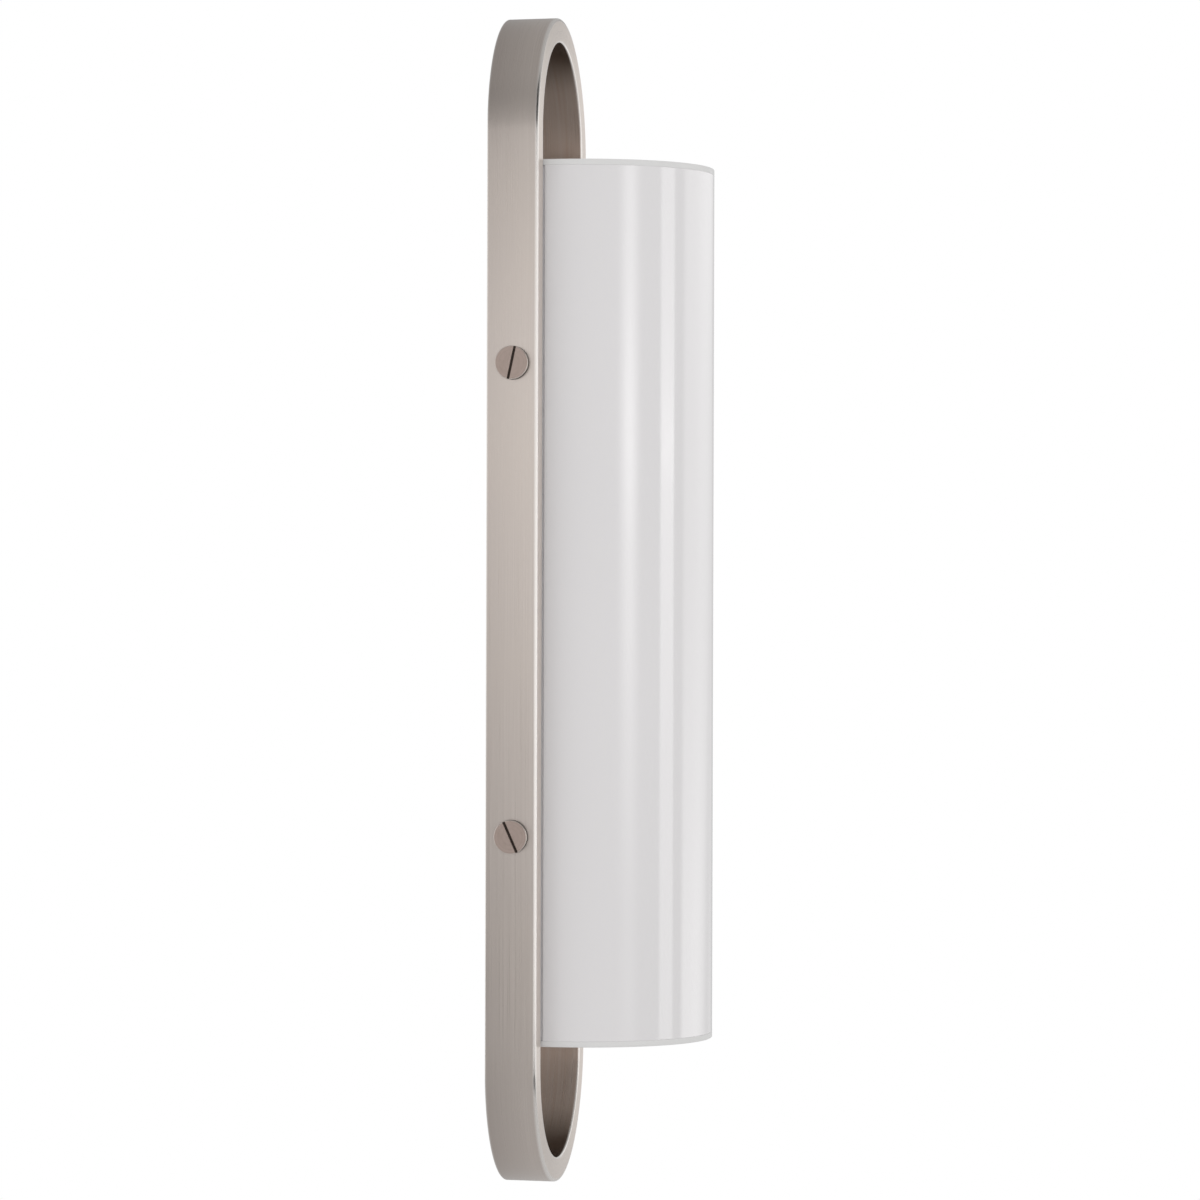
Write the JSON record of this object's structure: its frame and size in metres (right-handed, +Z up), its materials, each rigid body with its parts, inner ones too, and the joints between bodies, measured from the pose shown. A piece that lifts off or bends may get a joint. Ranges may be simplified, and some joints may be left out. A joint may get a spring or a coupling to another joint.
{
  "type": "vanity light",
  "caption": "wall light with a closed oval frame of thick flat bar and a shorter opal shade that rises out of it, lit by lamp boards on a folded tray",
  "frame": {"origin": "the middle of the junction-box slots, on the wall plane, which is also the middle of the oval frame", "axes": "+Z up along the light, +Y into the wall, -Y into the room, +X to the viewer's right"},
  "size_m": [0.1394, 0.1065, 0.6098],
  "materials": {
    "brushed_nickel": "long grain brushed along the bar, warm nickel plating",
    "nickel_screw": "turned face, nickel plating",
    "opal_acrylic": "opal white, glossy",
    "opal_cap": "opal white, polished edge",
    "white_paint": "white powder coat, matt",
    "zinc_steel": "bright zinc plating",
    "spring_steel": "bare spring steel, satin",
    "brass_stud": "turned brass",
    "green_nut": "green ground nut, plated",
    "black_rubber": "moulded rubber, matt",
    "grey_pad": "soft heat pad, matt",
    "white_board": "white solder mask on a metal-core board",
    "green_board": "green solder mask",
    "lamp_chip": "phosphor lens in a white body",
    "white_plastic": "moulded, fine texture",
    "grey_plastic": "moulded, fine texture",
    "driver_metal": "pressed aluminium sheet",
    "ferrite_core": "dark ferrite with a taped coil",
    "capacitor_case": "moulded case of a film capacitor",
    "copper_winding": "enamelled copper wire"
  },
  "bodies": {
    "root": {"frame_ring": "brushed_nickel", "frame_screws": "nickel_screw", "shade": "opal_acrylic", "shade_cap_top": "opal_cap", "shade_cap_bottom": "opal_cap", "wall_pan": "white_paint", "led_tray": "white_paint", "frame_nuts": "zinc_steel", "tray_standoffs": "zinc_steel", "base_studs": "zinc_steel", "base_nuts": "zinc_steel", "tray_screws": "zinc_steel", "shade_clips": "spring_steel", "ground_stud": "brass_stud", "ground_nut": "green_nut", "wire_bushing": "black_rubber", "tray_grommet": "black_rubber", "heat_pads": "grey_pad", "led_board_upper": "white_board", "led_board_lower": "white_board", "led_chips": "lamp_chip", "board_connectors": "white_plastic", "terminal_block": "grey_plastic", "driver_terminals": "grey_plastic", "driver_base": "driver_metal", "driver_cover": "driver_metal", "driver_board": "green_board", "driver_transformer": "ferrite_core", "driver_capacitors": "capacitor_case", "driver_choke": "copper_winding"}
  },
  "joints": []
}
